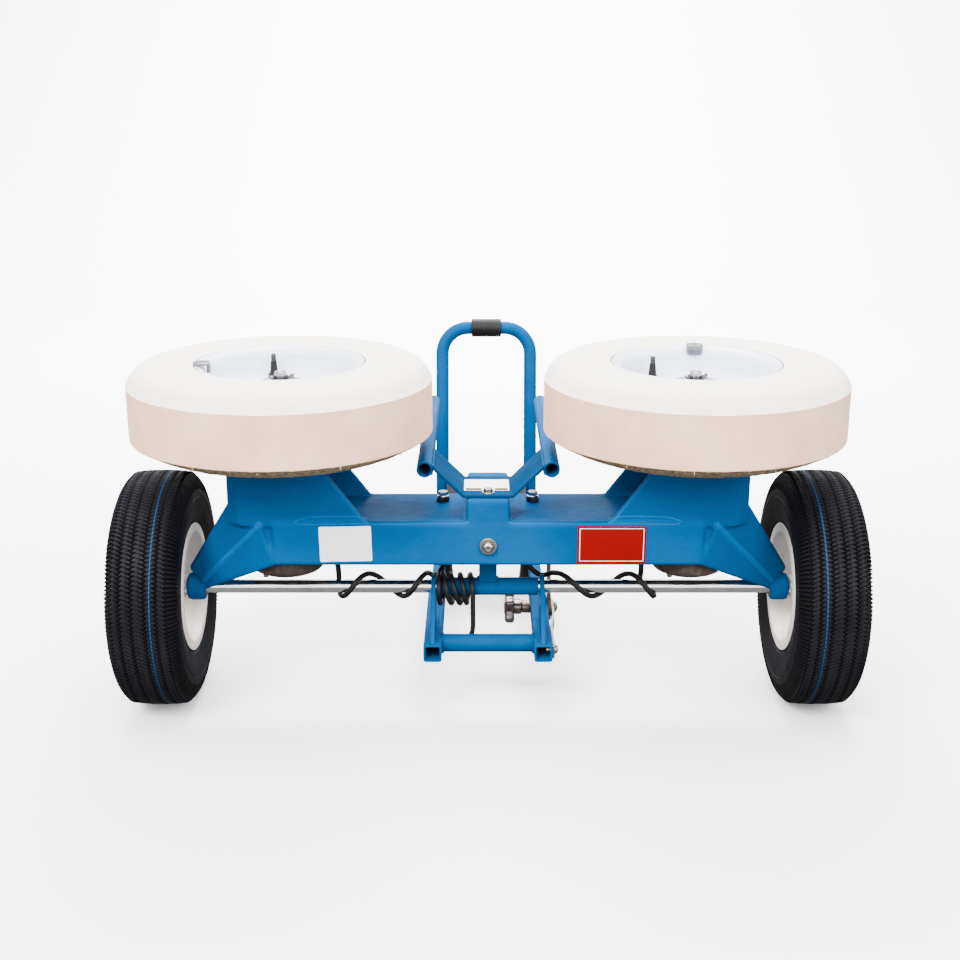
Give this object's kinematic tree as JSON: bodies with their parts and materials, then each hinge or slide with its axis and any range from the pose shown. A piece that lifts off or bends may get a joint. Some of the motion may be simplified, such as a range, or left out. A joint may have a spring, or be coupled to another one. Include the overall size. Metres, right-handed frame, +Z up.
{
  "type": "soccer ball launcher",
  "caption": "Wheeled ball launcher: two flat-lying air tyres on upright motors, a tilting cast head, a ball chute, and a rear frame with handle and control box.",
  "frame": {"origin": "middle of the footprint on the floor, under the whole object", "axes": "+X along the axle to the right as seen from the front, +Y to the back, where the handle and control box are, +Z up"},
  "size_m": [1.011, 0.7852, 0.494],
  "materials": {
    "blue_cast_paint": "satin blue paint over a cast surface",
    "blue_paint": "satin blue paint",
    "cream_rubber": "matt cream rubber, ground tread",
    "white_paint": "gloss white paint",
    "black_tyre": "matt black rubber",
    "beige_paint": "gloss off-white paint",
    "black_rubber": "matt black rubber",
    "bright_steel": "turned bright steel",
    "zinc_plate": "zinc plate",
    "bare_steel": "bare brown steel",
    "motor_paint": "satin grey brown paint",
    "dark_grey_paint": "satin dark grey paint",
    "black_plastic": "satin black plastic",
    "grey_zinc_weight": "dull grey metal"
  },
  "bodies": {
    "base": {"front_rail_left": "blue_paint", "front_rail_right": "blue_paint", "axle_plate_left": "blue_paint", "axle_plate_right": "blue_paint", "cross_tube": "blue_paint", "clamp_boss": "bare_steel", "clamp_screw": "zinc_plate", "keeper_strap": "zinc_plate", "strap_bolt": "zinc_plate", "lock_screw_left": "zinc_plate", "lock_screw_right": "zinc_plate", "rear_rail_left": "blue_paint", "rear_rail_right": "blue_paint", "foot_left": "black_rubber", "foot_right": "black_rubber", "handle_frame": "blue_paint", "handle_grip": "black_rubber", "control_box": "dark_grey_paint", "control_panel": "dark_grey_paint", "power_inlet": "black_plastic", "control_lead_run": "black_rubber"},
    "head": {"head_casting": "blue_cast_paint", "pivot_sleeve": "blue_paint", "axle": "bright_steel", "pivot_bolt": "zinc_plate", "chute_tube_left": "blue_paint", "chute_tube_right": "blue_paint", "chute_yoke": "blue_paint", "yoke_bolt": "zinc_plate", "motor_left": "motor_paint", "motor_right": "motor_paint", "shaft_bearing_left": "bright_steel", "shaft_bearing_right": "bright_steel", "lead_joint": "black_rubber", "motor_lead_left": "black_rubber", "motor_lead_right": "black_rubber", "control_lead_coil": "black_rubber", "tilt_quadrant": "bare_steel"},
    "throw_wheel_left": {"throw_tyre_left": "cream_rubber", "throw_rim_left": "white_paint", "throw_shaft_left": "bright_steel", "throw_nut_left": "zinc_plate", "valve_stem_left": "black_rubber", "balance_weight_left": "grey_zinc_weight"},
    "throw_wheel_right": {"throw_tyre_right": "cream_rubber", "throw_rim_right": "white_paint", "throw_shaft_right": "bright_steel", "throw_nut_right": "zinc_plate", "valve_stem_right": "black_rubber", "balance_weight_right": "grey_zinc_weight"},
    "transport_wheel_left": {"wheel_tyre_left": "black_tyre", "wheel_rim_left": "beige_paint", "wheel_valve_left": "black_rubber"},
    "transport_wheel_right": {"wheel_tyre_right": "black_tyre", "wheel_rim_right": "beige_paint", "wheel_valve_right": "black_rubber"},
    "clamp_knob": {"clamp_knob": "bright_steel"},
    "speed_dial_left": {"speed_dial_left": "black_plastic"},
    "speed_dial_right": {"speed_dial_right": "black_plastic"},
    "power_switch": {"power_switch": "black_plastic"}
  },
  "joints": [
    {"name": "head_tilt", "type": "hinge", "parent": "base", "child": "head", "pos_m": [0, -0.18257, 0.165], "axis": [-1, 0, 0], "range_deg": [0, 35]},
    {"name": "throw_spin_left", "type": "hinge", "parent": "head", "child": "throw_wheel_left", "pos_m": [-0.2797, -0.18857, 0.4325], "axis": [0, 0, 1], "continuous": true},
    {"name": "throw_spin_right", "type": "hinge", "parent": "head", "child": "throw_wheel_right", "pos_m": [0.2797, -0.18857, 0.4325], "axis": [0, 0, 1], "continuous": true},
    {"name": "transport_spin_left", "type": "hinge", "parent": "base", "child": "transport_wheel_left", "pos_m": [-0.457, -0.18257, 0.165], "axis": [1, 0, 0], "continuous": true},
    {"name": "transport_spin_right", "type": "hinge", "parent": "base", "child": "transport_wheel_right", "pos_m": [0.457, -0.18257, 0.165], "axis": [1, 0, 0], "continuous": true},
    {"name": "clamp_turn", "type": "hinge", "parent": "base", "child": "clamp_knob", "pos_m": [0.026, -0.08757, 0.0946], "axis": [-1, 0, 0], "range_deg": [0, 360]},
    {"name": "speed_turn_left", "type": "hinge", "parent": "base", "child": "speed_dial_left", "pos_m": [-0.034, 0.29796, 0.13951], "axis": [0, 0.972, -0.2351], "range_deg": [0, 270]},
    {"name": "speed_turn_right", "type": "hinge", "parent": "base", "child": "speed_dial_right", "pos_m": [0.034, 0.29796, 0.13951], "axis": [0, 0.972, -0.2351], "range_deg": [0, 270]},
    {"name": "power_rock", "type": "hinge", "parent": "base", "child": "power_switch", "pos_m": [-0.03, 0.2968, 0.1007], "axis": [-1, 0, 0], "range_deg": [0, 15]}
  ]
}
